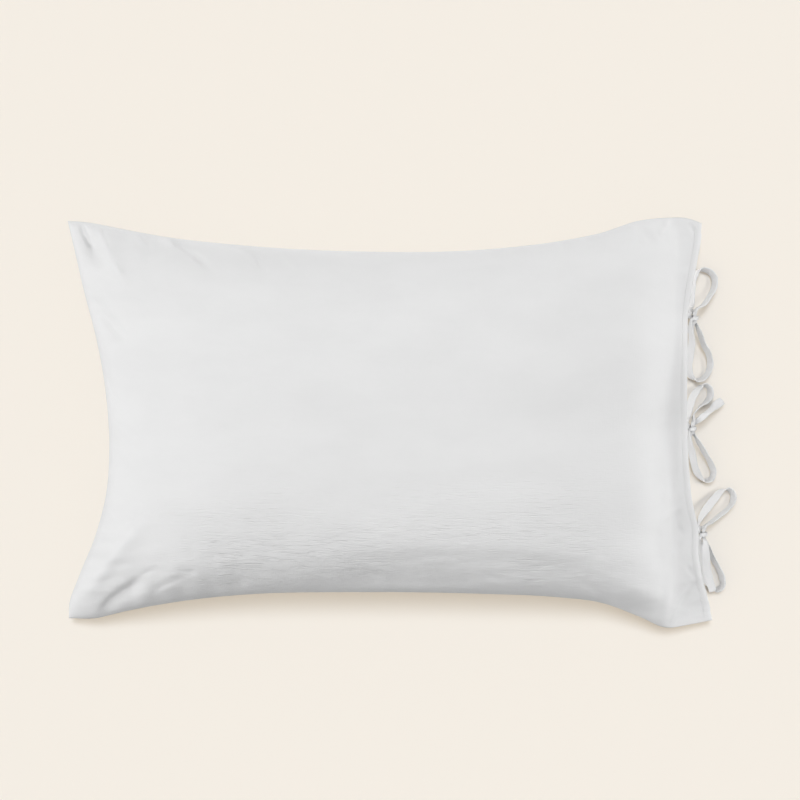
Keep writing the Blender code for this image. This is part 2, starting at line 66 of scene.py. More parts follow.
def smoothLine(rows, shares=None):
    # a function of a share, 0 to 1, of the way along a smooth line through the rows
    points, knots = np.array(rows, float), rowShares(rows) if shares is None else shares
    slopes = np.diff(points, axis=0) / np.diff(knots)[:, None]
    before, after = np.diff(knots)[:-1, None], np.diff(knots)[1:, None]
    inner = (slopes[:-1] * after + slopes[1:] * before) / (before + after)
    tangents = np.vstack([slopes[:1], inner, slopes[-1:]])

    def at(share):
        share = np.asarray(share, float)
        span = np.clip(np.searchsorted(knots, share, side="right") - 1, 0, len(knots) - 2)
        width = (knots[span + 1] - knots[span])[..., None]
        f = (share - knots[span])[..., None] / width
        return (
            points[span] * (2 * f**3 - 3 * f**2 + 1)
            + tangents[span] * width * (f**3 - 2 * f**2 + f)
            + points[span + 1] * (3 * f**2 - 2 * f**3)
            + tangents[span + 1] * width * (f**3 - f**2)
        )

    return at


def ease(low, high, value):
    f = np.clip((value - low) / (high - low), 0.0, 1.0)
    return f * f * (3.0 - 2.0 * f)


def softNoise(x, y, seed):
    # smooth random relief between -1 and 1, about one bump for each unit of x and y
    columns, rows = 97, 89  # bumps each way before it repeats
    table = np.random.default_rng(seed).uniform(-1.0, 1.0, (columns, rows))
    column, row = np.floor(x).astype(int), np.floor(y).astype(int)
    fx, fy = x - column, y - row
    fx, fy = fx * fx * (3.0 - 2.0 * fx), fy * fy * (3.0 - 2.0 * fy)

    def corner(right, up):
        return table[(column + right) % columns, (row + up) % rows]

    low = corner(0, 0) * (1.0 - fx) + corner(1, 0) * fx
    high = corner(0, 1) * (1.0 - fx) + corner(1, 1) * fx
    return low * (1.0 - fy) + high * fy


class Sheet:
    # points, their place on the flat cloth and the faces of one mesh
    def __init__(self):
        self.points, self.flat, self.faces = [], [], []

    def row(self, points, flat):
        # adds a row of points, and gives their numbers
        first = len(self.points)
        self.points.extend(np.asarray(points).reshape(-1, 3).tolist())
        self.flat.extend(np.asarray(flat).reshape(-1, 2).tolist())
        return list(range(first, len(self.points)))

    def strip(self, one, other):
        # joins two rows with as many points
        for a, b, c, d in zip(one, one[1:], other[1:], other):
            corners = list(dict.fromkeys((a, b, c, d)))  # rows that share a point meet there in a triangle
            if len(corners) > 2:
                self.faces.append(corners)

    def taper(self, fine, coarse):
        # joins a row to one with half as many steps
        for j, (a, b) in enumerate(zip(coarse, coarse[1:])):
            self.faces.append([*fine[2 * j:2 * j + 3], b, a])

    def makePiece(self, name, material):
        mesh = bpy.data.meshes.new(name)
        mesh.from_pydata((np.array(self.points) * mm).tolist(), [], self.faces)
        layer = mesh.uv_layers.new(name="flatCloth")
        corners = np.empty(len(mesh.loops), np.int32)
        mesh.loops.foreach_get("vertex_index", corners)
        layer.data.foreach_set("uv", (np.array(self.flat) * mm)[corners].ravel())
        mesh.validate()
        mesh.shade_smooth()
        mesh.materials.append(material)
        piece = bpy.data.objects.new(name, mesh)
        bpy.context.scene.collection.objects.link(piece)
        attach(piece, "root")
        return piece


# The camera looks straight down.
cameraView = {
    "height": 2.41,  # m above the floor
    "middle": (0.012, 0.027),  # m, the place on the floor that it looks at
    "lens": 87.75,  # mm
    "sensor": 36.0,  # mm
    "reach": (0.01, 50.0),  # m, the nearest and the farthest that it sees
}


def makeCamera(view):
    camera = bpy.data.cameras.new("overheadCamera")
    camera.lens, camera.sensor_width = view["lens"], view["sensor"]
    camera.clip_start, camera.clip_end = view["reach"]
    holder = bpy.data.objects.new("overheadCamera", camera)
    holder.location = (*view["middle"], view["height"])
    bpy.context.scene.collection.objects.link(holder)
    bpy.context.scene.camera = holder


makeCamera(cameraView)
print("camera set")


def hexToLinear(text):
    # an sRGB colour such as "#E4E4E4" by the sRGB curve to a linear one, with its alpha of 1
    parts = [int(text[i:i + 2], 16) / 255.0 for i in (1, 3, 5)]
    linear = [c / 12.92 if c <= 0.04045 else ((c + 0.055) / 1.055) ** 2.4 for c in parts]
    return (*linear, 1.0)


def addNode(tree, kind, settings=(), links=()):
    # settings go to the node, or else to the socket of that name or number, and links to sockets
    node = tree.nodes.new(kind)
    for name, value in dict(settings).items():
        if isinstance(name, str) and hasattr(node, name):
            setattr(node, name, value)
        else:
            node.inputs[name].default_value = value
    for socket, source in dict(links).items():
        tree.links.new(source, node.inputs[socket])
    return node


# Washed cotton, plain weave, white: a dry matt surface with a faint nap along its edges,
# thick places in the weft yarn (slubs) as short level streaks, and a soft crumple from washing.
washedCotton = {
    "colour": "#E4E4E4",
    "shade": "#E1E1E1",  # the thin places, where less yarn reflects
    "paintedHighlight": "#EBEBEB",  # the folded edge of a hem, where the cloth lies double, painted lighter: a painted highlight for the light that its rounded edge catches
    "roughness": 0.92,
    "specular": 0.25,
    "sheen": 0.35,
    "sheenRoughness": 0.5,
    # sizes are mm along and across the weft, and depths mm of relief
    "slubSize": (30.0, 2.0),  # drawn coarser than the 0.5 mm yarn so that it shows
    "slubDepth": 0.3,
    "fineSlubSize": (12.0, 1.3),
    "fineSlubDepth": 0.16,
    # m across: the filling presses the cloth smooth above the first, and it is loose below the second;
    # then the share of the slubs left where it is smooth
    "slubZone": (-0.05, -0.13, 0.14),
    "slubReach": (0.33, 0.22),  # m from the middle: taut from the first, slack up to the second
    "threadSize": (9.0, 1.5),  # drawn coarser than the 0.4 mm of the weave so that it shows
    "threadDepth": 0.03,
    "crumpleSize": (27.0, 17.0),
    "crumpleDepth": 0.1,
    "patchSize": (120.0, 46.0),  # where the slubs gather
    "mottleSize": (90.0, 45.0),  # thicker and thinner cloth
}


def makeCotton(name, finish):
    material = bpy.data.materials.new(name)
    material.use_nodes = True
    tree = material.node_tree
    shader = tree.nodes["Principled BSDF"]
    shader.inputs["Roughness"].default_value = finish["roughness"]
    shader.inputs["Sheen Weight"].default_value = finish["sheen"]
    shader.inputs["Sheen Roughness"].default_value = finish["sheenRoughness"]
    shader.inputs["Specular IOR Level"].default_value = finish["specular"]
    flat = addNode(tree, "ShaderNodeUVMap", {"uv_map": "flatCloth"}).outputs["UV"]
    threadSize = finish["threadSize"]
    # name: mm along and across the weft, detail, shift, and the part of the noise that shows
    patterns = {
        "slub": (finish["slubSize"], 2.0, 0.0, (0.53, 0.70)),
        "fineSlub": (finish["fineSlubSize"], 1.0, 17.0, (0.50, 0.70)),
        "weft": (threadSize, 1.0, 3.1, (0.3, 0.7)),
        "warp": (threadSize[::-1], 1.0, 7.7, (0.3, 0.7)),
        "crumple": (finish["crumpleSize"], 3.0, 11.0, (0.3, 0.7)),
        "patch": (finish["patchSize"], 2.0, 23.0, (0.36, 0.62)),
        "mottle": (finish["mottleSize"], 3.0, 5.0, (0.3, 0.7)),
    }
    made = {}
    for kind, ((alongWeft, acrossWeft), detail, shift, (low, high)) in patterns.items():
        scale = (1.0 / (alongWeft * mm), 1.0 / (acrossWeft * mm), 1.0)
        place = addNode(
            tree, "ShaderNodeMapping", {"Scale": scale, "Location": (shift, shift, 0.0)}, {"Vector": flat},
        )
        noise = addNode(
            tree, "ShaderNodeTexNoise", {"noise_dimensions": "2D", "Scale": 1.0, "Detail": detail},
            {"Vector": place.outputs["Vector"]},
        )
        shown = addNode(
            tree, "ShaderNodeMapRange", {"From Min": low, "From Max": high}, {"Value": noise.outputs["Fac"]},
        )
        made[kind] = shown.outputs["Result"]
    # the two colours of a colour mix are its sockets 6 and 7, and its result is 2
    tint = addNode(
        tree, "ShaderNodeMix",
        {"data_type": "RGBA", 6: hexToLinear(finish["shade"]), 7: hexToLinear(finish["colour"])},
        {0: made["mottle"]},
    )
    # painted highlight: a lighter colour on the folded edge of the hems, standing in for the light that their
    # rounded fold catches
    paintedHighlight = addNode(tree, "ShaderNodeAttribute", {"attribute_name": "paintedHighlightEdge"})
    colour = addNode(
        tree, "ShaderNodeMix", {"data_type": "RGBA", 7: hexToLinear(finish["paintedHighlight"])},
        {0: paintedHighlight.outputs["Fac"], 6: tint.outputs[2]},
    )
    tree.links.new(colour.outputs[2], shader.inputs["Base Color"])
    # slubs show where the cloth is slack, the broad ones in patches
    where = addNode(tree, "ShaderNodeSeparateXYZ", {}, {"Vector": flat})
    smooth, loose, least = finish["slubZone"]
    slackAcross = addNode(
        tree, "ShaderNodeMapRange", {"From Min": smooth, "From Max": loose, "To Min": least},
        {"Value": where.outputs["Y"]},
    )
    fromMiddle = addNode(tree, "ShaderNodeMath", {"operation": "ABSOLUTE"}, {0: where.outputs["X"]})
    taut, slack = finish["slubReach"]
    slackAlong = addNode(
        tree, "ShaderNodeMapRange", {"From Min": taut, "From Max": slack}, {"Value": fromMiddle.outputs[0]},
    )
    times, plus = {"operation": "MULTIPLY"}, {"operation": "ADD"}
    zone = addNode(
        tree, "ShaderNodeMath", times, {0: slackAcross.outputs["Result"], 1: slackAlong.outputs["Result"]},
    ).outputs[0]
    patches = addNode(tree, "ShaderNodeMath", times, {0: zone, 1: made["patch"]})
    slubs = addNode(tree, "ShaderNodeMath", times, {0: patches.outputs[0], 1: made["slub"]})
    fine = addNode(tree, "ShaderNodeMath", times, {0: zone, 1: made["fineSlub"]})
    weave = addNode(tree, "ShaderNodeMath", plus, {0: made["weft"], 1: made["warp"]})
    reliefs = (
        (made["crumple"], finish["crumpleDepth"]),
        (slubs.outputs[0], finish["slubDepth"]),
        (fine.outputs[0], finish["fineSlubDepth"]),
        (weave.outputs[0], finish["threadDepth"]),
    )
    below = None
    for height, depth in reliefs:
        links = {"Height": height} if below is None else {"Height": height, "Normal": below}
        bump = addNode(tree, "ShaderNodeBump", {"Distance": depth * mm, "Strength": 1.0}, links)
        below = bump.outputs["Normal"]
    tree.links.new(below, shader.inputs["Normal"])
    return material


cottonCloth = makeCotton("washedCottonPlainWeave", washedCotton)
# The same cloth cut in narrow strips and folded into tape: whiter all over than the case's cloth, with finer
# slubs.
cottonTape = makeCotton("foldedCottonTape", {
    **washedCotton,
    "colour": "#ECECEC",
    "shade": "#E6E6E6",
    "slubSize": (10.0, 1.5),
    "slubDepth": 0.15,
    "fineSlubSize": (5.0, 0.9),
    "fineSlubDepth": 0.08,
    "threadSize": (5.0, 0.9),
    "crumpleSize": (9.0, 6.0),
})
print("cloth finishes made")

# The seam line of the filled case (x, y, z), the sides from the closed end to the open one.
seamRows = {
    "upper": (
        (-394, 246, 26), (-366, 243, 34), (-328, 235, 44), (-278, 225, 55), (-180, 213, 67), (-36, 205, 72),
        (108, 207, 72), (204, 218, 66), (253, 228, 60), (302, 244, 50), (334, 248, 42), (363, 248, 34),
        (380, 242.5, 30),
    ),
    "lower": (
        (-393, -240, 24), (-360, -239, 32), (-328, -231, 42), (-278, -220, 54), (-180, -207, 67),
        (-36, -203, 72), (108, -205, 72), (204, -210, 67), (253, -217, 59), (303, -236, 45), (336, -250, 34),
        (367, -247, 27), (394, -242, 23),
    ),
    "closedEnd": (
        (-393, -240, 24), (-391, -221, 31), (-378, -188, 42), (-355, -135, 55), (-341, -84, 62),
        (-337, -33, 65), (-342, 39, 63), (-353, 97, 57), (-370, 156, 46), (-385, 212, 34), (-394, 246, 26),
    ),
    "openEnd": (
        (394, -242, 23), (388, -218, 24), (380, -191, 26), (375, -164, 28), (375, -133, 29), (366, -95, 34),
        (361, -40, 37), (360.5, -7, 36), (359, 45, 39), (360, 94, 38), (361, 129, 36), (364.5, 155, 35),
        (372.5, 195, 33), (378, 222, 31), (380, 242.5, 30),
    ),
    "fade": 2.0,  # how fast each seam's own shape fades into the case; more is faster
    "openEndFade": 7.0,
    "openEndHeightFade": 3.0,
}
# In this and the next dictionaries, sizes are in mm, and shares are of the case's length or width.
filled = {
    "crown": 106.0,  # height of the filling over the seams
    "belly": 92.0,  # depth of the filling under them, before the floor flattens it
    "floorBlend": 14.0,  # height over which the back turns level on the floor
    "acrossPower": 2.5,  # more makes the sides steeper and the top flatter
    "alongPower": 2.7,
    "roundness": 0.5,
    "end": 0.962,  # share of the length where the filling ends, at mid width
    "endAtCorners": 0.925,
    "endUpper": 0.017,  # share by which it ends nearer to the hem in the upper part
    "upperZone": (0.53, 0.78),  # shares of the width between which that comes in
    "endPower": 9.0,  # more makes the end steeper
    "endRoundness": 0.85,
    "endBlend": 0.08,  # softness of the foot of the slope
}
hem = {
    "seamHalf": 1.2,  # half the thickness at a closed seam
    "wall": 2.0,  # thickness of the hem at its edge
    "innerWall": 5.5,  # and at the bottom of the mouth
    "least": 0.5,  # room left between the two hems
    "zone": (0.80, 0.92),  # shares of the length between which the seams part into hems
    "mouthCorner": 0.022,  # share of the width at each corner that is closed
    "tieRows": {"bow3": 4, "bow2": 7, "bow1": 10},  # the openEnd row where each bow's ties are sewn
    "gapAtTies": 5.0,  # between front and back
    "partings": (11.0, 6.0, 8.0, 6.0),  # how much wider it is between the ties, from the lower corner up
    "partingCurve": 1.5,
    "pocketDepth": 30.0,  # how far in the mouth goes
    "cornerDepth": 58.0,  # and what it nears towards its corners
    "cornerReach": 0.09,  # share of the width over which that fades
    "cornerStart": (-0.01, 0.05),  # shares from a corner between which the depth comes in
    "endBulge": 5.0,  # the filling at the bottom of the mouth, where that is endHeight high or more
    "endHeight": 30.0,
    "cornerHeld": (0.025, 0.09),  # shares from a corner between which creases and stitching come in
    "paintedHighlightEdge": (0.5, 4.5),  # painted highlight, from the edge: whitest to here, and none from here on
}
caseMesh = {
    "alongSteps": 330,
    "acrossSteps": 200,
    "crowding": 0.62,  # 0 makes all steps equal, and more makes them finer near the seams
    "pocketSteps": 14,
    "endSteps": 8,
    "lipSteps": 4,
    "flatWidth": 500.0,  # of the case laid flat
    "mouthRow": 3.0,  # flat cloth from row to row inside the mouth
}

# Soft folds: from (x, y), to (x, y), width and height; a negative height is a trough.
frontFolds = (
    (-374, 238, -348, 192, 11, -6.0), (-352, 236, -312, 160, 10, 5.0), (-310, 228, -286, 206, 8, -3.0),
    (-278, 222, -206, 176, 10, -3.6), (-195, 214, -142, 168, 10, -2.8), (-366, 156, -306, 88, 13, -5.0),
    (-348, 60, -296, 20, 10, -2.4), (-340, -10, -292, -52, 10, -2.4), (-382, -216, -282, -108, 15, 6.0),
    (-352, -232, -282, -172, 9, -2.0), (-310, -226, -226, -160, 14, 2.2), (-226, -206, -150, -176, 12, -2.5),
    (246, -206, 316, -236, 10, -3.5), (268, -190, 330, -214, 11, 3.0), (332, -246, 344, -190, 9, 5.0),
    (352, -236, 364, -196, 9, -2.6), (334, 60, 342, -84, 11, -4.5), (350, -104, 346, -154, 13, -3.4),
    (298, 240, 314, 214, 7, -2.5), (344, 196, 352, 128, 11, -1.2),
)
backFolds = (
    (-372, 234, -330, 176, 12, -4.5), (-372, -228, -318, -166, 13, -5.0), (-300, 222, -246, 178, 11, -3.0),
    (330, 236, 296, 176, 12, -3.5), (340, -238, 300, -180, 12, -3.5), (-352, 40, -306, 8, 11, -2.5),
)
foldFade = {
    "atSeams": 0.2,  # share of a fold's height that is left at the seams
    "inFull": 0.13,  # fullness from which it has all of it
    "taper": 1.5,  # more makes a fold's ends thinner
    "roomAtCrown": 40.0,  # how deep a trough may go at the crown
    "hemStraightFrom": 0.97,  # share of the length from which the folds fade
}
# Gathers along the closed seams: share of the edge from, to, waves, height.
gathersRows = ((0.03, 0.34, 7.0, 1.5), (0.30, 0.62, 5.0, 0.7), (0.66, 0.90, 6.0, 0.9))
gathersFade = {
    "side": 0.06,  # share over which they fade away from a side seam
    "end": 0.04,  # and from the closed end
    "start": 0.012,  # share over which they rise from the seam itself
    "upperShift": 0.013,  # sets the upper side's waves apart from the lower one's
    "drift": 5.0,  # radians over a seam, so that the waves aren't all alike
}

upperSeam, lowerSeam = smoothLine(seamRows["upper"]), smoothLine(seamRows["lower"])
closedEnd, openEnd = smoothLine(seamRows["closedEnd"]), smoothLine(seamRows["openEnd"])
tieShares = {bow: rowShares(seamRows["openEnd"])[row] for bow, row in hem["tieRows"].items()}
mouthStops = [hem["mouthCorner"], *sorted(tieShares.values()), 1.0 - hem["mouthCorner"]]
caseLength = openEnd(0.5)[0] - closedEnd(0.5)[0]


def fromSides(t):
    # share of the width from the nearer side seam
    return np.minimum(t, 1.0 - t)


def fromSeams(s, t):
    # share from the nearest closed seam
    return np.minimum(fromSides(t), s)


def chord(line, share):
    # the straight line between a seam's two ends
    share = share[..., None]
    return line(0.0) * (1.0 - share) + line(1.0) * share


def seamLevel(s, t):
    # midway between front and back: s runs along the case, t across it
    corners = chord(lowerSeam, s) * (1.0 - t)[..., None] + chord(upperSeam, s) * t[..., None]
    fade = seamRows["fade"]
    point = corners + (upperSeam(s) - chord(upperSeam, s)) * (t**fade)[..., None]
    point += (lowerSeam(s) - chord(lowerSeam, s)) * ((1.0 - t) ** fade)[..., None]
    point += (closedEnd(t) - chord(closedEnd, t)) * ((1.0 - s) ** fade)[..., None]
    atMouth = openEnd(t) - chord(openEnd, t)
    point[..., :2] += atMouth[..., :2] * (s ** seamRows["openEndFade"])[..., None]
    point[..., 2] += atMouth[..., 2] * s ** seamRows["openEndHeightFade"]
    return point


def fullness(s, t):
    # 0 at the seams, 1 at the crown
    form = filled
    across = np.clip(1.0 - np.abs(2.0 * t - 1.0) ** form["acrossPower"], 0.0, 1.0) ** form["roundness"]
    along = np.abs(2.0 * np.minimum(s, 0.5) - 1.0) ** form["alongPower"]
    along = np.clip(1.0 - along, 0.0, 1.0) ** form["roundness"]
    end = form["endAtCorners"] + (form["end"] - form["endAtCorners"]) * across
    end += form["endUpper"] * ease(*form["upperZone"], t)  # above, the pillow reaches nearer to the hem
    short = 1.0 - (s / end) ** form["endPower"]
    return across * along * ((short + np.hypot(short, form["endBlend"])) / 2.0) ** form["endRoundness"]


def mouthGap(t):
    # between the front and the back hem: closed at the corners, held at the ties, wider between them
    held = [0.0, *[hem["gapAtTies"]] * len(tieShares), 0.0]
    gap = np.interp(t, mouthStops, held)
    for start, stop, parting in zip(mouthStops, mouthStops[1:], hem["partings"]):
        f = np.clip((t - start) / (stop - start), 0.0, 1.0)
        gap += parting * np.sin(math.pi * f) ** hem["partingCurve"]
    return gap


def foldHeight(x, y, folds):
    height = np.zeros_like(x)
    for x0, y0, x1, y1, width, peak in folds:
        length = math.hypot(x1 - x0, y1 - y0)
        along = ((x - x0) * (x1 - x0) + (y - y0) * (y1 - y0)) / length
        aside = ((x - x0) * (y1 - y0) - (y - y0) * (x1 - x0)) / length
        reach = np.abs(along - length / 2.0) / (length / 2.0 + width)
        taper = np.clip(1.0 - reach**2, 0.0, 1.0) ** foldFade["taper"]
        height += peak * taper * np.exp(-((aside / width) ** 2))
    return height


def gatherHeight(s, t):
    # small waves along the closed seams
    fade = gathersFade
    height = np.zeros_like(s)
    seams = (
        (s, np.exp(-t / fade["side"])),
        (s + fade["upperShift"], np.exp(-(1.0 - t) / fade["side"])),
        (t, np.exp(-s / fade["end"])),
    )
    for start, stop, waves, peak in gathersRows:
        for share, near in seams:
            f = np.clip((share - start) / (stop - start), 0.0, 1.0)
            wave = np.sin(2.0 * math.pi * waves * f + fade["drift"] * share)
            height += peak * near * np.sin(math.pi * f) * wave
    return height * ease(0.0, fade["start"], fromSeams(s, t))


def restOnFloor(z):
    # a smooth turn from the slope of the back to the flat patch on the floor
    blend = filled["floorBlend"]
    rounded = z * z * (2.0 * blend - z) / blend**2
    return np.where(z <= 0.0, 0.0, np.where(z < blend, rounded, z))


# Narrow creases in the front: the line each follows, its width on its right and on its left, and its height.
creases = (
    (((-380, 248), (-363, 219), (-352, 202)), 4, 4, -4.0),
    (((-354, 243), (-340, 215), (-332, 198)), 6, 5, 3.6),
    (((-328, 194), (-316, 171)), 3, 3, 1.2),
    (((-324, 236), (-300, 221), (-284, 212)), 4, 4, -3.0),
    (((-290, 229), (-253, 210), (-227, 191), (-203, 174)), 4, 5, -4.0),
    (((-208, 216), (-174, 204), (-140, 170)), 4, 5, -3.2),
    (((-138, 208), (-98, 172)), 5, 6, -1.6),
    (((-368, 164), (-335, 124), (-304, 90)), 6, 6, -2.4),
    (((-340, 60), (-315, 10)), 3, 3, -1.0),
    (((-330, 6), (-293, -18)), 2.5, 2.5, 0.9),
    (((-356, -240), (-338, -216), (-322, -203), (-302, -192), (-280, -180)), 12, 5, -4.2),
    (((-318, -196), (-287, -177), (-266, -166)), 3.5, 3.5, -1.0),
    (((-288, -204), (-259, -188), (-235, -179)), 4, 5, -1.8),
    (((-382, -224), (-357, -198), (-340, -174), (-308, -132), (-276, -100)), 9, 9, 2.0),
    (((-318, -128), (-284, -102)), 3.5, 3.5, -1.4),
    (
        (
            (-150, -158), (-81, -151), (-34, -143), (12, -140), (93, -140), (163, -143), (217, -152),
            (247, -166), (275, -189), (318, -226),
        ),
        16, 60, 4.6,
    ),
    (((-130, -194), (-47, -187), (12, -185), (80, -186), (150, -188)), 9, 14, -3.5),
    (((-252, -172), (-225, -177)), 4, 5, -1.3),
    (((-198, -166), (-173, -175)), 4, 5, -1.3),
    (((-34, -171), (-4, -183)), 4, 5, -1.3),
    (((104, -173), (138, -188)), 4, 5, -1.3),
    (((222, -184), (254, -206)), 4, 5, -1.3),
    (((322, 224), (340, 248)), 4, 4, 1.8),
    (((363, 245), (375, 223)), 3, 3, -1.4),
    (((356, 182), (353, 148), (358, 112)), 7, 7, -1.0),
    (((352, 262), (350, 205), (348, 150), (347, 96), (350, 40)), 15, 12, 4.0),
    (((340, 35), (333, 5), (328, -30), (326, -60), (323, -95), (318, -130)), 11, 9, -6.5),
    (((323, -112), (320, -146), (325, -184)), 9, 9, -2.5),
    (((354, 60), (353, 24), (350, -30), (349, -70), (341, -112), (330, -150)), 5, 7, 1.4),
    (((358, -62), (356, -100), (355, -140), (358, -180)), 7, 9, 2.0),
    (((355, -120), (351, -138), (345, -160)), 6, 6, -1.0),
    (((362, -95), (323, -122)), 5, 5, 1.6),
    (((340, -252), (352, -217), (366, -196)), 3, 3, 2.0),
    (((352, -232), (364, -210), (380, -188)), 6, 6, -2.0),
    (((358, -172), (375, -193)), 3, 3, -1.1),
    (((348, -124), (360, -142)), 3, 3, -0.9),
    (((295, 240), (300, 204)), 7, 7, -1.6),
)
creaseForm = {
    "steps": 16,  # straight pieces of each crease's line
    "ends": 0.35,  # share of a crease over which each end fades
    "heldBySeams": 0.008,  # share over which the closed seams flatten the creases
    "heldByHem": 0.012,
}
# Fine relief that washing and filling leave in the cloth.
crumples = {
    "swell": 0.25,  # slow unevenness of the filling
    "swellSize": 74.0,
    "creaseDepth": 0.25,  # short creases at the seams
    "creaseLength": 34.0,
    "creaseWidth": 7.0,
    "creaseReach": 0.12,  # share over which they fade away from the side seams
    "creaseReachAtEnd": 0.6,  # and this much of that from the closed end
    "hemCrease": 0.35,
    "hemCreaseLength": 40.0,
    "hemCreaseWidth": 9.0,
    "hemZone": (0.93, 0.965, 0.985, 1.0),  # shares of the length where they start, are full, fade and end
    "lump": 0.35,  # level lumps near the lower seam
    "lumpLength": 20.0,
    "lumpWidth": 7.0,
    "lumpSlant": 60.0,
    "lumpZone": (0.24, 0.12, 0.02),  # shares of the width where they start, are full, and fade to the seam
    # the smaller ones on them: share of the height, and how many times more along and across
    "smallLumps": (0.5, 2.2, 1.8),
    "start": 0.02,  # share over which all this rises from a closed seam
}


def creaseHeight(x, y):
    height = np.zeros_like(x)
    steps, ends = creaseForm["steps"], creaseForm["ends"]
    for line, right, left, peak in creases:
        path = smoothLine(line)(np.linspace(0.0, 1.0, steps + 1))
        nearest, share, across = np.full(x.shape, np.inf), np.zeros_like(x), np.zeros_like(x)
        for index, ((x0, y0), (x1, y1)) in enumerate(zip(path, path[1:])):
            dx, dy = x1 - x0, y1 - y0
            along = np.clip(((x - x0) * dx + (y - y0) * dy) / (dx * dx + dy * dy), 0.0, 1.0)
            awayX, awayY = x - x0 - dx * along, y - y0 - dy * along
            distance = np.hypot(awayX, awayY)
            closer = distance < nearest
            nearest = np.where(closer, distance, nearest)
            share = np.where(closer, (index + along) / steps, share)
            across = np.where(closer, dx * awayY - dy * awayX, across)
        width = np.where(across > 0.0, left, right)
        fading = peak * ease(0.0, ends, share) * ease(0.0, ends, 1.0 - share)
        height += fading * np.exp(-((nearest / width) ** 2))
    return height


def crumpleHeight(s, t, point):
    x, y = point[..., 0], point[..., 1]
    form = crumples
    height = form["swell"] * softNoise(x / form["swellSize"], y / form["swellSize"], seed=11)
    # across the side seams the short creases run along y, at the closed end along x
    nearSide = np.exp(-fromSides(t) / form["creaseReach"])
    nearEnd = np.exp(-s / (form["creaseReach"] * form["creaseReachAtEnd"]))
    sideCrease = softNoise(x / form["creaseWidth"], y / form["creaseLength"], seed=23)
    endCrease = softNoise(x / form["creaseLength"], y / form["creaseWidth"], seed=31)
    height += form["creaseDepth"] * (sideCrease * nearSide + endCrease * nearEnd)
    starts, full, fades, ends = form["hemZone"]
    nearHem = ease(starts, full, s) * (1.0 - ease(fades, ends, s)) * ease(*hem["cornerHeld"], fromSides(t))
    hemCrease = softNoise(x / form["hemCreaseLength"], y / form["hemCreaseWidth"], seed=47)
    height += form["hemCrease"] * hemCrease * nearHem
    top, middle, bottom = form["lumpZone"]
    nearLower = (1.0 - ease(middle, top, t)) * ease(0.0, bottom, t)
    lumps = softNoise(x / form["lumpLength"] - y / form["lumpSlant"], y / form["lumpWidth"], seed=61)
    share, moreAlong, moreAcross = form["smallLumps"]
    smallX, smallY = x * moreAlong / form["lumpLength"], y * moreAcross / form["lumpWidth"]
    lumps += share * softNoise(smallX, smallY, seed=67)
    height += form["lump"] * lumps * nearLower
    return height * ease(0.0, form["start"], fromSeams(s, t))


def outerPoint(s, t, side, fine=False):
    # a point on the front (side 1) or the back (side -1), with the small relief where fine is true
    level = seamLevel(s, t)
    full = fullness(s, t)
    hemShare = ease(*hem["zone"], s)
    edge = hem["seamHalf"] * (1.0 - hemShare) + (hem["wall"] + mouthGap(t) / 2.0) * hemShare
    fade = foldFade
    folds, filling = (frontFolds, filled["crown"]) if side > 0 else (backFolds, filled["belly"])
    awayFromSeams = fade["atSeams"] + (1.0 - fade["atSeams"]) * ease(0.0, fade["inFull"], full)
    relief = foldHeight(level[..., 0], level[..., 1], folds) * awayFromSeams
    relief *= 1.0 - ease(fade["hemStraightFrom"], 1.0, s)
    relief += gatherHeight(s, t)
    if fine:
        relief += crumpleHeight(s, t, level)
        fromStitches = (1.0 - s) * caseLength - hemStitching["fromEdge"]
        groove = hemStitching["groove"] * ease(*hem["cornerHeld"], fromSides(t))
        relief -= groove * np.exp(-((fromStitches / hemStitching["grooveWidth"]) ** 2))
    if fine and side > 0:
        held = ease(0.0, creaseForm["heldBySeams"], fromSeams(s, t))
        held *= ease(0.0, creaseForm["heldByHem"], 1.0 - s)
        relief += creaseHeight(level[..., 0], level[..., 1]) * held
    room = np.maximum(edge - hem["seamHalf"] / 2.0, 0.0) + full * fade["roomAtCrown"]
    relief = np.clip(relief, -room, None)
    height = level[..., 2] + side * (edge + full * filling + relief)
    if side < 0:
        height = restOnFloor(height)
    return np.stack([level[..., 0], level[..., 1], height], axis=-1)


def crowded(count):
    # steps that are finer near the seams
    even = np.linspace(0.0, 1.0, count + 1)
    return even * (1.0 - caseMesh["crowding"]) + (1.0 - np.cos(math.pi * even)) / 2.0 * caseMesh["crowding"]


def acrossShares():
    # the steps across, with one on each tie and on each corner of the mouth
    shares = crowded(caseMesh["acrossSteps"])
    for stop in mouthStops:
        shares[2 * int(np.abs(shares[::2] - stop).argmin())] = stop
    return shares


def pocketDepth(t):
    fromCorner = fromSides(t) - hem["mouthCorner"]
    deeper = (hem["cornerDepth"] - hem["pocketDepth"]) * np.exp(-fromCorner / hem["cornerReach"])
    return (hem["pocketDepth"] + deeper) * ease(*hem["cornerStart"], fromCorner)


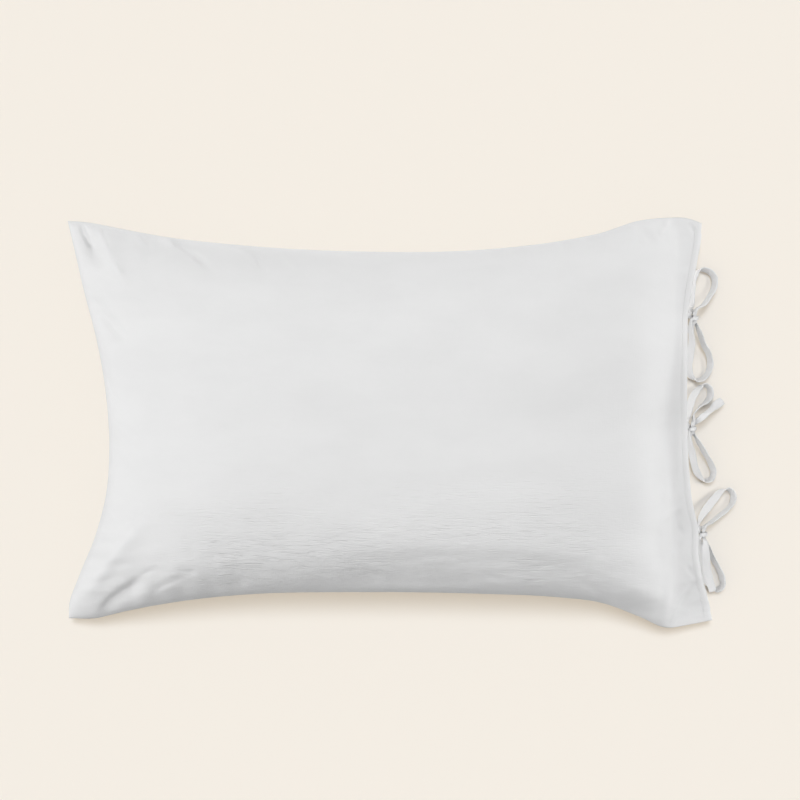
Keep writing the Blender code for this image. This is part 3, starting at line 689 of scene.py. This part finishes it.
def makeCase(material):
    along, across = crowded(caseMesh["alongSteps"]), acrossShares()
    cloth = Sheet()
    width, lipSteps, endSteps = caseMesh["flatWidth"], caseMesh["lipSteps"], caseMesh["endSteps"]

    def flatPlaces(points, shift):
        # how far each point lies along the cloth from the middle of its row and of its column
        places = np.empty((*points.shape[:2], 2))
        for axis in (0, 1):
            steps = np.linalg.norm(np.diff(points, axis=axis), axis=-1)
            gone = np.insert(np.cumsum(steps, axis=axis), 0, 0.0, axis=axis)
            middle = gone.take([gone.shape[axis] // 2], axis=axis)
            places[..., axis] = gone - middle
        return places + (0.0, shift)

    s, t = np.meshgrid(along, across, indexing="ij")
    frontPoints = outerPoint(s, t, 1, fine=True)
    front = [cloth.row(p, f) for p, f in zip(frontPoints, flatPlaces(frontPoints, 0.0))]
    # the back, with half as many steps, lies elsewhere on the flat cloth, so its weave isn't the front's
    sBack, tBack = np.meshgrid(along[::2], across[::2], indexing="ij")
    backPoints = outerPoint(sBack, tBack, -1, fine=True)
    back = [cloth.row(p, f) for p, f in zip(backPoints, flatPlaces(backPoints, -2.0 * width))]
    for rows in (front, back):
        for one, other in zip(rows, rows[1:]):
            cloth.strip(one, other)

    # the closed seams
    cloth.taper(front[0], back[0])
    for edge in (0, -1):
        cloth.taper([row[edge] for row in front], [row[edge] for row in back])

    # the open end: closed at its two corners, and between them two hems with a rounded edge
    coarse = across[::2]
    start = int(np.abs(coarse - mouthStops[0]).argmin())
    stop = int(np.abs(coarse - mouthStops[-1]).argmin())
    frontEdge, backEdge = front[-1], back[-1]
    points = np.array(cloth.points)
    middles = [(points[frontEdge[2 * j]] + points[backEdge[j]]) / 2.0 for j in (start, stop)]
    ends = cloth.row(middles, [(caseLength, coarse[j] * width) for j in (start, stop)])
    for corner, columns in ((ends[0], range(start)), (ends[1], range(stop, len(coarse) - 1))):
        for j in columns:
            ring = [*frontEdge[2 * j:2 * j + 3], backEdge[j + 1], backEdge[j]]
            if j + 1 == start:
                ring.insert(3, corner)
            if j == stop:
                ring.append(corner)
            cloth.faces.append(ring)

    # the mouth: the inside of each hem down to the filling
    inner = coarse[start + 1:stop]
    inwards = np.linspace(0.0, 1.0, caseMesh["pocketSteps"] + 1)[:, None]
    depths = inwards * pocketDepth(inner)
    sInner, tInner = 1.0 - depths / caseLength, np.broadcast_to(inner, depths.shape)
    wall = hem["wall"] + (hem["innerWall"] - hem["wall"]) * ease(0.0, 1.0, inwards)
    underFront, overBack = outerPoint(sInner, tInner, 1), outerPoint(sInner, tInner, -1)
    room = underFront[..., 2] - overBack[..., 2] - hem["least"]
    wall = np.minimum(wall, room / 2.0)  # thinner at the corners, where the two hems meet
    underFront[..., 2] -= wall
    overBack[..., 2] += wall

    def lip(outer, inside):
        # rows round the hem's folded edge, from the outside in
        rows = []
        for step in range(1, lipSteps):
            turn = math.pi * step / lipSteps
            row = outer * (1.0 + math.cos(turn)) / 2.0 + inside * (1.0 - math.cos(turn)) / 2.0
            row[:, 0] += hem["wall"] / 2.0 * math.sin(turn)
            rows.append(row)
        return rows

    outerFront = points[frontEdge[2 * start + 2:2 * stop:2]]
    outerBack = points[backEdge[start + 1:stop]]
    rows = [*lip(outerFront, underFront[0]), *underFront]
    for step in range(1, endSteps):
        down = step / endSteps
        row = underFront[-1] * (1.0 - down) + overBack[-1] * down
        bulge = hem["endBulge"] * ease(0.0, hem["endHeight"], underFront[-1][:, 2] - overBack[-1][:, 2])
        row[:, 0] += bulge * math.sin(math.pi * down) ** 2
        rows.append(row)
    rows += [*overBack[::-1], *lip(outerBack, overBack[0])[::-1]]
    inside = []
    for index, row in enumerate(rows):
        further = np.full(len(inner), caseLength + caseMesh["mouthRow"] * index)
        flat = np.stack([further, inner * width], axis=-1)
        inside.append([ends[0], *cloth.row(row, flat), ends[1]])
    for one, other in zip(inside, inside[1:]):
        cloth.strip(one, other)
    cloth.taper(frontEdge[2 * start:2 * stop + 1], inside[0])
    cloth.strip(backEdge[start:stop + 1], inside[-1])
    piece = cloth.makePiece("caseCloth", material)
    # painted highlight where light catches the rounded fold: 1 on the folded edge of the hems, 0 elsewhere
    paintedHighlight = np.zeros(len(cloth.points))
    for rows, shares in ((front, along), (back, along[::2])):
        for row, share in zip(rows, shares):
            paintedHighlight[row] = 1.0 - ease(*hem["paintedHighlightEdge"], (1.0 - share) * caseLength)
    for row in (*inside[:lipSteps], *inside[-lipSteps:]):
        paintedHighlight[row] = 1.0
    piece.data.attributes.new("paintedHighlightEdge", "FLOAT", "POINT").data.foreach_set("value", paintedHighlight)
    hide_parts("case")


# A lockstitch row holds each hem down.
hemStitching = {
    "fromEdge": 7.0,
    "length": 2.5,
    "pitch": 3.4,
    "width": 0.6,
    "height": 0.5,
    "above": 0.32,  # clear of the cloth
    "arch": (0.12, 0.76),  # where on a half turn a stitch starts, and how much of the turn it goes
    "groove": 0.5,  # how deep the row sinks into the hem
    "grooveWidth": 1.2,
    "sides": 6,
    "steps": 4,
    "samples": 1200,  # points along a hem from which the stitches are placed
}


def makeHemStitching(material):
    form = hemStitching
    threads = Sheet()
    s = 1.0 - form["fromEdge"] / caseLength
    archStart, archTurn = form["arch"]
    for side in (1, -1):
        start, stop = mouthStops[0] / 2.0, 1.0 - mouthStops[0] / 2.0
        shares = np.linspace(start, stop, form["samples"])
        row = outerPoint(np.full(shares.shape, s), shares, side, fine=True)
        run = rowShares(row)
        total = np.linalg.norm(np.diff(row, axis=0), axis=1).sum()
        for index in range(int(total / form["pitch"])):
            begin = index * form["pitch"] / total
            places = np.linspace(begin, begin + form["length"] / total, form["steps"] + 1)
            middle = np.stack([np.interp(places, run, row[:, axis]) for axis in range(3)], axis=1)
            ahead = (middle[-1] - middle[0]) / np.linalg.norm(middle[-1] - middle[0])
            aside = np.cross(ahead, (0.0, 0.0, 1.0))
            up = np.cross(aside, ahead) * side
            rings = []
            for step, centre in enumerate(middle):
                arch = math.sin(math.pi * (archStart + archTurn * step / form["steps"]))
                centre = centre + up * (form["above"] + form["height"] / 2.0)
                turns = np.linspace(0.0, 2.0 * math.pi, form["sides"], endpoint=False)[:, None]
                ring = centre + arch * (
                    aside * np.cos(turns) * form["width"] + up * np.sin(turns) * form["height"]
                ) / 2.0
                rings.append(threads.row(ring, ring[:, :2]))
            for one, other in zip(rings, rings[1:]):
                threads.strip([*one, one[0]], [*other, other[0]])
            threads.faces += [rings[0], rings[-1]]
    piece = threads.makePiece("hemStitches", material)


# Which way the tape's width lies.
upright, sideways, lengthwise = (0.0, 0.0, 1.0), (1.0, 0.0, 0.0), (0.0, 1.0, 0.0)
outward, outwardUp, outwardDown = (0.62, 0.0, 0.78), (0.50, 0.30, 0.81), (0.50, -0.30, 0.81)
slant, slantUp = (0.62, -0.76, 0.20), (0.30, -0.40, 0.87)
lean, leanFlat, leanDown = (0.70, 0.0, 0.71), (0.84, -0.10, 0.53), (0.78, -0.42, 0.47)

tape = {
    "width": 10.0,
    "thickness": 1.4,
    "gatheredWidth": 4.4,  # in the knot
    "gatheredThickness": 1.6,
    "gatherReach": (5.0, 25.0),  # from the knot: gathered to here, and of full width from here on
    "step": 1.3,  # from ring to ring
    "offset": 1.05,  # of each tie of a bow from midway between the hems
    "rootRows": ((14.0, 1.0), (7.0, 1.0), (2.0, 0.7)),  # behind the hem's edge, share of the width
    "rootExit": {"front": (1.4, 1.4, 0.0), "back": (1.4, -0.3, -0.5)},  # from the hem's edge
    "rootFree": (18.0, 24.0),  # along the tape: pleats and crumples start here, and are full from here on
    "pastRoot": 3.4,  # how far the front tie goes over beside the knot's middle, at least
    "pastRootFromRim": 3.8,  # and beside its own root, at least
    # places from the knot (x, y, z) and which way the width lies there
    "overKnot": (-5.8, 0.0, 3.0, (-0.7, 0.0, 0.7)),
    "besideKnot": (-5.8, 4.6, 1.2, upright),
    "outOfWrap": (-4.9, -5.4, 2.2, (-0.56, 0.0, -0.83)),
    "intoKnot": {"front": (0.9, 8.4, 1.2, outward), "back": (2.5, -8.0, -3.0, outward)},
    "throughKnot": (4.6, 0.0, -4.4),
    "strandOffset": 1.15,
    # the back tie's turn round the front one: radii across and up, start and length of the turn in degrees
    "wrapRadius": (3.9, 4.4),
    "wrapStart": 188.0,
    "wrapTurn": 318.0,
    "wrapSteps": 10,
    "wrapAdvance": 3.0,
    "sides": 32,  # points round the section
    "squareness": (0.62, 0.45),  # of the section across and through: less is squarer
    "pleat": 0.32,
    "pleats": 2.5,  # waves across the width
    "pleatReach": (5.0, 9.0, 26.0),  # from the knot: start, full, none
    "crumple": 0.4,
    "crumpleSize": 9.0,
    "crumpleReach": (8.0, 16.0),
    "crumpleAcross": 1.3,
    "uneven": 0.06,  # share of the width
    "unevenSize": 11.0,
    "tailFold": 1.5,  # how high a tail is folded up along its middle
    "rib": 0.25,  # share by which the turned-in edges are thicker
    "ribPlace": 0.82,  # share of the half width
    "ribWidth": 0.15,
    "seeds": {"front": 5, "back": 4},
}

# Each knot's centre from the hem's edge, then each loop and tail from the knot, and which way its width lies.
knotPlaces = {
    "bow1": (10.2, -2.0, -3.0),
    "bow2": (8.2, -0.5, -3.2),
    "bow3": (8.2, -3.5, -3.0),
}
loopRows = {
    "bow1_tie_front": (
        (-3.6, 14.0, -5, lean),
        (-2.0, 26.0, -12, lean),
        (-0.4, 40.0, -17, lean),
        (3.2, 53.0, -21, lean),
        (10.6, 60.5, -22, outwardUp),
        (20.0, 59.0, -23.5, outwardUp),
        (27.5, 51.0, -23.5, outward),
        (28.0, 41.5, -22.5, outward),
        (21.4, 28.0, -17, outward),
        (11.6, 15.6, -8, outward),
    ),
    "bow1_tie_back": (
        (-4.4, -14.0, -0.4, lean),
        (-2.2, -31.0, -8, lean),
        (-3.6, -48.0, -14, lean),
        (-4.4, -61.0, -18, lean),
        (-1.6, -70.5, -21.5, lean),
        (4.2, -75.4, -23.5, outwardDown),
        (11.6, -75.0, -24, outwardDown),
        (19.0, -68.0, -24, outwardDown),
        (22.6, -57.0, -23, outward),
        (20.7, -45.0, -20, outward),
        (13.2, -31.7, -14, outward),
        (6.4, -16.0, -6, outward),
    ),
    "bow2_tie_front": (
        (-4.6, 14.0, -4, lean),
        (-1.2, 28.0, -12, leanFlat),
        (4.4, 40.5, -18, leanFlat),
        (11.0, 49.0, -21, lean),
        (17.0, 53.5, -23.5, outwardUp),
        (23.7, 50.0, -23.5, outward),
        (25.5, 41.5, -22.5, outward),
        (20.3, 32.8, -19, outward),
        (10.0, 25.0, -13, upright),
        (1.6, 15.0, -6, upright),
    ),
    "bow2_tie_back": (
        (-3.8, -14.0, -0.2, lean),
        (0.4, -29.0, -8, leanFlat),
        (4.4, -45.0, -14, leanFlat),
        (9.8, -57.0, -20, lean),
        (17.5, -65.0, -23.5, outwardDown),
        (26.2, -62.8, -24, outwardDown),
        (29.2, -54.9, -23, outward),
        (25.0, -43.3, -20, outward),
        (16.6, -30.0, -13, outward),
        (7.6, -16.0, -5, outward),
    ),
    "bow3_tie_front": (
        (-4.2, 17.0, -1, lean),
        (4.0, 29.0, -6, leanDown),
        (15.6, 43.0, -11, leanDown),
        (25.0, 52.0, -15.5, lean),
        (33.4, 53.4, -17, outwardUp),
        (39.0, 47.0, -17, outward),
        (37.8, 37.0, -16, outward),
        (29.8, 28.0, -13, outward),
        (17.8, 19.5, -8, outward),
        (8.4, 12.8, -3.5, outward),
    ),
    "bow3_tie_back": (
        (-3.3, -12.0, -5, lean),
        (-3.0, -30.0, -13, lean),
        (2.0, -52.5, -17, lean),
        (9.2, -66.0, -18.5, outwardDown),
        (18.3, -71.0, -19, outwardDown),
        (25.6, -66.0, -19, outwardDown),
        (25.6, -56.0, -18, outward),
        (20.0, -43.3, -16, outward),
        (13.2, -31.0, -12.5, outward),
        (6.6, -17.0, -8, outward),
    ),
}
tailRows = {
    "bow1_tie_front": (
        (-0.9, -6.4, 2.0, (-0.7, 0.0, 0.7)),
        (-1.5, -9.1, -0.2, upright),
        (-2.9, -11.4, -9, lengthwise),
        (-11.0, -14.5, -21, lengthwise),
        (-20.0, -16.5, -26, lengthwise),
        (-31.0, -19.0, -29, lengthwise),
    ),
    "bow1_tie_back": (
        (-1.0, 6.2, -3.4, sideways),
        (-1.6, 7.5, -7.6, sideways),
        (-3.0, 8.9, -13.5, (0.6, 0.8, 0.0)),
        (-11.0, 10.5, -21, lengthwise),
        (-20.0, 9.0, -26, lengthwise),
        (-31.0, 7.0, -29, lengthwise),
    ),
    "bow2_tie_front": (
        (-0.9, -6.4, 2.0, (-0.7, 0.0, 0.7)),
        (-1.5, -9.1, -0.2, upright),
        (-2.9, -11.4, -9, lengthwise),
        (-10.0, -13.5, -21, lengthwise),
        (-19.0, -15.5, -26, lengthwise),
        (-29.0, -18.5, -29, lengthwise),
    ),
    "bow2_tie_back": (
        (1.6, 5.8, -2.6, slant),
        (5.4, 8.4, -3.0, slant),
        (11.0, 12.8, -1.5, slant),
        (17.6, 18.6, -3, slantUp),
        (25.0, 23.8, -10, slantUp),
        (32.4, 29.0, -16, slant),
        (39.6, 33.8, -20, slant),
    ),
    "bow3_tie_front": (
        (1.2, -9.6, 4.0, sideways),
        (1.6, -16.0, 5.0, sideways),
        (2.4, -28.0, 2.5, sideways),
        (4.2, -41.5, -3, sideways),
        (8.0, -56.0, -8, sideways),
        (13.4, -71.5, -11.5, sideways),
    ),
    "bow3_tie_back": (
        (-1.2, 6.2, -3.2, sideways),
        (-2.6, 8.0, -7.0, sideways),
        (-4.6, 9.8, -11, lengthwise),
        (-10.0, 9.0, -16, lengthwise),
        (-18.0, 7.0, -19, lengthwise),
        (-26.0, 4.5, -21, lengthwise),
    ),
}


def tieRows(bow, layer):
    # every row of one tie: place, which way its width lies, width, thickness, lengthwise fold
    name = f"{bow}_tie_{layer}"
    side = 1.0 if layer == "front" else -1.0
    rim = openEnd(tieShares[bow])
    knot = rim + np.array(knotPlaces[bow])
    offset = np.array([0.0, 0.0, tape["offset"] * side])
    rows = []

    def add(place, across, width=tape["gatheredWidth"], thickness=tape["gatheredThickness"], fold=0.0):
        rows.append((np.array(place, float), np.array(across, float), width, thickness, fold))

    def addFree(table, fold=0.0):
        for x, y, z, across in table:
            distance = math.dist((x, y, z), (0.0, 0.0, 0.0))
            opened = np.clip((distance - tape["gatherReach"][0]) / np.ptp(tape["gatherReach"]), 0.0, 1.0)
            width = tape["gatheredWidth"] + (tape["width"] - tape["gatheredWidth"]) * opened
            add(knot + (x, y, z), across, width, tape["thickness"], fold * opened)

    # from inside the hem out to the knot
    for depth, share in tape["rootRows"]:
        place = seamLevel(np.array(1.0 - depth / caseLength), np.array(tieShares[bow]))
        add(place + offset, lengthwise, tape["width"] * share, tape["thickness"])
    add(rim + offset + tape["rootExit"][layer], lengthwise)
    if layer == "front":
        pastRoot = np.array([0.0, max(tape["pastRoot"], tape["pastRootFromRim"] - knotPlaces[bow][1]), 0.0])
        add(knot + pastRoot + tape["overKnot"][:3], tape["overKnot"][3])
        addFree([(*pastRoot + tape["besideKnot"][:3], tape["besideKnot"][3])])
    else:
        for step in range(tape["wrapSteps"] + 1):
            turned = step / tape["wrapSteps"]
            angle = math.radians(tape["wrapStart"] + tape["wrapTurn"] * turned)
            x, z = tape["wrapRadius"][0] * math.cos(angle), tape["wrapRadius"][1] * math.sin(angle)
            add(knot + (x, tape["wrapAdvance"] * (0.5 - turned), z), lengthwise)
        add(knot + tape["outOfWrap"][:3], tape["outOfWrap"][3])
    # round the loop, back through the knot and out as the tail
    addFree(loopRows[name])
    addFree([tape["intoKnot"][layer]])
    for alongKnot in tape["throughKnot"]:
        add(knot + (0.0, alongKnot * side, tape["strandOffset"] * side), sideways)
    addFree(tailRows[name], tape["tailFold"])
    return rows, knot


def makeTie(bow, layer, material):
    rows, knot = tieRows(bow, layer)
    places, across = np.array([row[0] for row in rows]), np.array([row[1] for row in rows])
    for index in range(1, len(across)):
        if across[index] @ across[index - 1] < 0.0:  # the same width, named the other way round
            across[index] *= -1.0
    shares = rowShares(places)
    rough = np.linalg.norm(np.diff(places, axis=0), axis=1).sum()
    stations = np.linspace(0.0, 1.0, int(rough / tape["step"]) + 1)
    line = smoothLine(places)(stations)
    steps = np.linalg.norm(np.diff(line, axis=0), axis=1)
    along = np.concatenate([[0.0], np.cumsum(steps)])
    tangents = np.gradient(line, axis=0)
    tangents /= np.linalg.norm(tangents, axis=1)[:, None]
    wide = smoothLine(across, shares)(stations)
    wide -= (wide * tangents).sum(axis=1)[:, None] * tangents
    wide /= np.linalg.norm(wide, axis=1)[:, None]
    normal = np.cross(tangents, wide)
    halfWidth = np.interp(stations, shares, [row[2] for row in rows])[:, None] / 2.0
    halfThickness = np.interp(stations, shares, [row[3] for row in rows])[:, None] / 2.0
    fold = np.interp(stations, shares, [row[4] for row in rows])[:, None] * np.sign(normal[:, 2:])
    # gathered into pleats beside the knot, crumpled and a little uneven beyond it
    seed = 10 * sorted(tieShares).index(bow) + tape["seeds"][layer]
    away = np.linalg.norm(line - knot, axis=1)[:, None]
    free = ease(*tape["rootFree"], along)[:, None]
    opening, pleated, smooth = tape["pleatReach"]
    pleat = tape["pleat"] * ease(opening, pleated, away) * (1.0 - ease(pleated, smooth, away)) * free
    crumple = tape["crumple"] * ease(*tape["crumpleReach"], away) * free
    uneven = softNoise(along / tape["unevenSize"], along * 0.0, seed)[:, None]
    halfWidth *= 1.0 + tape["uneven"] * uneven * free
    # the section goes round the flat tape: across its upper face and back across its lower one
    turns = np.linspace(0.0, 2.0 * math.pi, tape["sides"], endpoint=False)
    squareAcross, squareThrough = tape["squareness"]
    points = []
    for turn in turns:
        u = abs(math.cos(turn)) ** squareAcross * math.copysign(1.0, math.cos(turn))
        v = abs(math.sin(turn)) ** squareThrough * math.copysign(1.0, math.sin(turn))
        v *= 1.0 + tape["rib"] * math.exp(-(((abs(u) - tape["ribPlace"]) / tape["ribWidth"]) ** 2))
        lift = pleat * math.cos(math.pi * tape["pleats"] * (u + 1.0)) + fold * (0.5 - abs(u))
        rumple = softNoise(along / tape["crumpleSize"], along * 0.0 + tape["crumpleAcross"] * u, seed + 1)
        lift += crumple * rumple[:, None]
        points.append(line + wide * halfWidth * u + normal * (halfThickness * v + lift))
    points = np.stack(points, axis=1)
    cloth = Sheet()
    rings, ringLength = [], 2.0 * tape["width"]
    for index, ring in enumerate(points):
        flat = np.stack([np.full(len(turns), along[index]), turns / (2.0 * math.pi) * ringLength], axis=-1)
        rings.append(cloth.row(ring, flat))
    for one, other in zip(rings, rings[1:]):
        cloth.strip([*one, one[0]], [*other, other[0]])
    cloth.faces += [rings[0], rings[-1]]
    name = f"{bow}_tie_{layer}"
    piece = cloth.makePiece(f"{bow}Tie{layer.capitalize()}", material)
    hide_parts(name)
    leaves = openEnd(tieShares[bow]) * mm
    print(f"{name}: {along[-1]:.0f} mm of tape")


for bow in sorted(tieShares):
    for layer in ("front", "back"):
        makeTie(bow, layer, cottonTape)
makeCase(cottonCloth)
makeHemStitching(cottonTape)
print("case and stitching made")

# Painted board: smooth and matt, an even cream without gloss.
studio = {
    "floorColour": "#F5EEE3",
    "floorRoughness": 0.95,
    "floorSize": 60.0,  # m
    "floorLevel": -0.0004,  # m, just clear of the cloth that rests on it
    "backdrop": "#F5EEE3",
    "roomGlow": 0.2,  # light from all round
    # name: azimuth and elevation that it shines from, strength, spread in degrees, colour, what it lights,
    # and what blocks it
    "lamps": {
        "leftLamp": (180, 18, 1.16, 45, "#FFFFFF", "cloth", "all"),
        "leftWall": (180, 18, 0.75, 45, "#FFFFFF", "cloth", "ties"),  # what comes back over the hem
        "rightLamp": (20, 18, 1.43, 45, "#FFFFFF", "cloth", "all"),
        "farLamp": (90, 62, 1.31, 45, "#FFFFFF", "cloth", "all"),
        "nearLamp": (270, 40, 0.71, 45, "#FFFFFF", "cloth", "all"),
        "farBounce": (60, -30, 0.95, 50, "#FFFFFF", "cloth", "ties"),  # the floor's light on the rims
        "rightBounce": (0, -30, 1.17, 50, "#FFFFFF", "cloth", "ties"),
        "leftBounce": (180, -30, 0.37, 50, "#FFFFFF", "cloth", "ties"),
        "tieSky": (90, 80, 2.3, 170, "#FFFFFF", "ties", "ties"),
        "tieBounce": (90, -80, 2.0, 170, "#FFF8F0", "ties", "ties"),  # the floor's light on the tapes
        "tieSide": (180, 35, 0.45, 70, "#FFFFFF", "ties", "ties"),
        "floorKey": (98, 71, 1.13, 16, "#E2EEFF", "floor", "all"),
        "floorOverhead": (95, 84, 0.55, 14, "#E2EEFF", "floor", "all"),
        "floorSide": (8, 56, 0.95, 20, "#FFFDF9", "floor", "ties"),
        "floorFill": (60, 86, 0.61, 160, "#FFE6BE", "floor", "ties"),
    },
}


def makeStage(form):
    board = bpy.data.materials.new("paintedBoard")
    board.use_nodes = True
    shader = board.node_tree.nodes["Principled BSDF"]
    shader.inputs["Base Color"].default_value = hexToLinear(form["floorColour"])
    shader.inputs["Roughness"].default_value = form["floorRoughness"]
    shader.inputs["Specular IOR Level"].default_value = 0.0
    half, level = form["floorSize"] / 2.0, form["floorLevel"]
    corners = [(-half, -half, level), (half, -half, level), (half, half, level), (-half, half, level)]
    mesh = bpy.data.meshes.new("floorBoard")
    mesh.from_pydata(corners, [], [(0, 1, 2, 3)])
    mesh.materials.append(board)
    floor = bpy.data.objects.new("floorBoard", mesh)
    bpy.context.scene.collection.objects.link(floor)
    floor.visible_diffuse = False  # its cream doesn't tint the white cloth
    return floor


def makeLight(form, floor):
    world = bpy.data.worlds.new("softRoom")
    world.use_nodes = True
    tree = world.node_tree
    tree.nodes.clear()
    glow = addNode(tree, "ShaderNodeBackground", {"Strength": form["roomGlow"]})
    seen = addNode(tree, "ShaderNodeBackground", {"Color": hexToLinear(form["backdrop"]), "Strength": 1.0})
    ray = addNode(tree, "ShaderNodeLightPath")
    mixed = addNode(
        tree, "ShaderNodeMixShader", {},
        {0: ray.outputs["Is Camera Ray"], 1: glow.outputs[0], 2: seen.outputs[0]},
    )
    addNode(tree, "ShaderNodeOutputWorld", {}, {"Surface": mixed.outputs[0]})
    bpy.context.scene.world = world
    bpy.context.scene.view_settings.view_transform = "Standard"
    groups = {name: bpy.data.collections.new(f"{name}ForLamps") for name in ("cloth", "ties", "floor")}
    groups["floor"].objects.link(floor)
    for piece in bpy.context.scene.objects:
        if piece.type == "MESH" and piece is not floor:
            groups["ties" if piece.name.startswith("bow") else "cloth"].objects.link(piece)
    for name, (azimuth, elevation, strength, spread, colour, lit, blocking) in form["lamps"].items():
        light = bpy.data.lights.new(name, "SUN")
        light.energy, light.angle = strength, math.radians(spread)
        light.color = hexToLinear(colour)[:3]
        # off where only some pieces block: with it on, the other pieces block part of that light too
        light.cycles.use_multiple_importance_sampling = blocking == "all"
        if lit != "floor":
            light.cycles.max_bounces = 0  # the white cloth doesn't light the cream board
        lamp = bpy.data.objects.new(name, light)
        lamp.rotation_euler = (math.radians(90 - elevation), 0.0, math.radians(azimuth + 90))
        lamp.light_linking.receiver_collection = groups[lit]
        lamp.light_linking.blocker_collection = groups.get(blocking)
        bpy.context.scene.collection.objects.link(lamp)


floorBoard = makeStage(studio)
makeLight(studio, floorBoard)
print("studio set")
